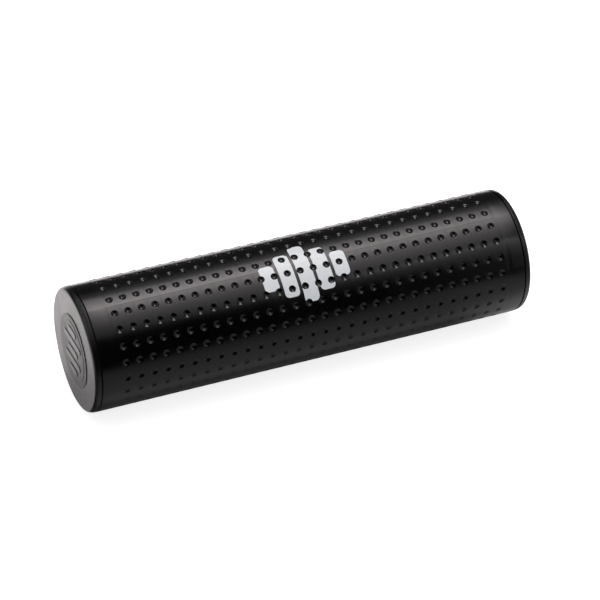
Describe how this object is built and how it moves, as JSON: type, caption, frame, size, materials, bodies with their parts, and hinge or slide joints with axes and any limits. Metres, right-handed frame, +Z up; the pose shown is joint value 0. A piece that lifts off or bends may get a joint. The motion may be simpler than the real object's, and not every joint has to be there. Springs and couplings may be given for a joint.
{
  "type": "percussion shaker",
  "caption": "Hand-held percussion shaker: a dimpled black plastic tube closed at both ends by plug caps, with loose steel shot that flies across the bore when it is shaken.",
  "frame": {"origin": "on the ground under the middle of the lying shaker", "axes": "+X along the tube from the left cap to the right cap, +Z up, -Y towards the viewer of the picture"},
  "size_m": [0.1686, 0.046, 0.046],
  "materials": {
    "tube_plastic": "satin black, moulded",
    "cap_plastic": "fine matt black, moulded",
    "shot_steel": "rolled bright, a little dull"
  },
  "bodies": {
    "shaker": {"shaker_tube": "tube_plastic", "left_end_cap": "cap_plastic", "right_end_cap": "cap_plastic"},
    "shot_01": {"shot_01": "shot_steel"},
    "shot_02": {"shot_02": "shot_steel"},
    "shot_03": {"shot_03": "shot_steel"},
    "shot_04": {"shot_04": "shot_steel"},
    "shot_05": {"shot_05": "shot_steel"},
    "shot_06": {"shot_06": "shot_steel"},
    "shot_07": {"shot_07": "shot_steel"},
    "shot_08": {"shot_08": "shot_steel"},
    "shot_09": {"shot_09": "shot_steel"},
    "shot_10": {"shot_10": "shot_steel"},
    "shot_11": {"shot_11": "shot_steel"},
    "shot_12": {"shot_12": "shot_steel"},
    "shot_13": {"shot_13": "shot_steel"},
    "shot_14": {"shot_14": "shot_steel"},
    "shot_15": {"shot_15": "shot_steel"},
    "shot_16": {"shot_16": "shot_steel"},
    "shot_17": {"shot_17": "shot_steel"},
    "shot_18": {"shot_18": "shot_steel"},
    "shot_19": {"shot_19": "shot_steel"},
    "shot_20": {"shot_20": "shot_steel"},
    "shot_21": {"shot_21": "shot_steel"},
    "shot_22": {"shot_22": "shot_steel"},
    "shot_23": {"shot_23": "shot_steel"},
    "shot_24": {"shot_24": "shot_steel"},
    "shot_25": {"shot_25": "shot_steel"},
    "shot_26": {"shot_26": "shot_steel"},
    "shot_27": {"shot_27": "shot_steel"},
    "shot_28": {"shot_28": "shot_steel"}
  },
  "joints": [
    {"name": "shot_01_throw", "type": "slide", "parent": "shaker", "child": "shot_01", "axis": [0, 0, 1], "range_m": [0, 0.03541]},
    {"name": "shot_02_throw", "type": "slide", "parent": "shaker", "child": "shot_02", "axis": [0, 0, 1], "range_m": [0, 0.03117]},
    {"name": "shot_03_throw", "type": "slide", "parent": "shaker", "child": "shot_03", "axis": [0, 0, 1], "range_m": [0, 0.03634]},
    {"name": "shot_04_throw", "type": "slide", "parent": "shaker", "child": "shot_04", "axis": [0, 0, 1], "range_m": [0, 0.03324]},
    {"name": "shot_05_throw", "type": "slide", "parent": "shaker", "child": "shot_05", "axis": [0, 0, 1], "range_m": [0, 0.03423]},
    {"name": "shot_06_throw", "type": "slide", "parent": "shaker", "child": "shot_06", "axis": [0, 0, 1], "range_m": [0, 0.03612]},
    {"name": "shot_07_throw", "type": "slide", "parent": "shaker", "child": "shot_07", "axis": [0, 0, 1], "range_m": [0, 0.02955]},
    {"name": "shot_08_throw", "type": "slide", "parent": "shaker", "child": "shot_08", "axis": [0, 0, 1], "range_m": [0, 0.03591]},
    {"name": "shot_09_throw", "type": "slide", "parent": "shaker", "child": "shot_09", "axis": [0, 0, 1], "range_m": [0, 0.03474]},
    {"name": "shot_10_throw", "type": "slide", "parent": "shaker", "child": "shot_10", "axis": [0, 0, 1], "range_m": [0, 0.03252]},
    {"name": "shot_11_throw", "type": "slide", "parent": "shaker", "child": "shot_11", "axis": [0, 0, 1], "range_m": [0, 0.03639]},
    {"name": "shot_12_throw", "type": "slide", "parent": "shaker", "child": "shot_12", "axis": [0, 0, 1], "range_m": [0, 0.03203]},
    {"name": "shot_13_throw", "type": "slide", "parent": "shaker", "child": "shot_13", "axis": [0, 0, 1], "range_m": [0, 0.03502]},
    {"name": "shot_14_throw", "type": "slide", "parent": "shaker", "child": "shot_14", "axis": [0, 0, 1], "range_m": [0, 0.03574]},
    {"name": "shot_15_throw", "type": "slide", "parent": "shaker", "child": "shot_15", "axis": [0, 0, 1], "range_m": [0, 0.0302]},
    {"name": "shot_16_throw", "type": "slide", "parent": "shaker", "child": "shot_16", "axis": [0, 0, 1], "range_m": [0, 0.03623]},
    {"name": "shot_17_throw", "type": "slide", "parent": "shaker", "child": "shot_17", "axis": [0, 0, 1], "range_m": [0, 0.03388]},
    {"name": "shot_18_throw", "type": "slide", "parent": "shaker", "child": "shot_18", "axis": [0, 0, 1], "range_m": [0, 0.03364]},
    {"name": "shot_19_throw", "type": "slide", "parent": "shaker", "child": "shot_19", "axis": [0, 0, 1], "range_m": [0, 0.03628]},
    {"name": "shot_20_throw", "type": "slide", "parent": "shaker", "child": "shot_20", "axis": [0, 0, 1], "range_m": [0, 0.03059]},
    {"name": "shot_21_throw", "type": "slide", "parent": "shaker", "child": "shot_21", "axis": [0, 0, 1], "range_m": [0, 0.03562]},
    {"name": "shot_22_throw", "type": "slide", "parent": "shaker", "child": "shot_22", "axis": [0, 0, 1], "range_m": [0, 0.03518]},
    {"name": "shot_23_throw", "type": "slide", "parent": "shaker", "child": "shot_23", "axis": [0, 0, 1], "range_m": [0, 0.03172]},
    {"name": "shot_24_throw", "type": "slide", "parent": "shaker", "child": "shot_24", "axis": [0, 0, 1], "range_m": [0, 0.03638]},
    {"name": "shot_25_throw", "type": "slide", "parent": "shaker", "child": "shot_25", "axis": [0, 0, 1], "range_m": [0, 0.03281]},
    {"name": "shot_26_throw", "type": "slide", "parent": "shaker", "child": "shot_26", "axis": [0, 0, 1], "range_m": [0, 0.03455]},
    {"name": "shot_27_throw", "type": "slide", "parent": "shaker", "child": "shot_27", "axis": [0, 0, 1], "range_m": [0, 0.036]},
    {"name": "shot_28_throw", "type": "slide", "parent": "shaker", "child": "shot_28", "axis": [0, 0, 1], "range_m": [0, 0.02913]}
  ]
}
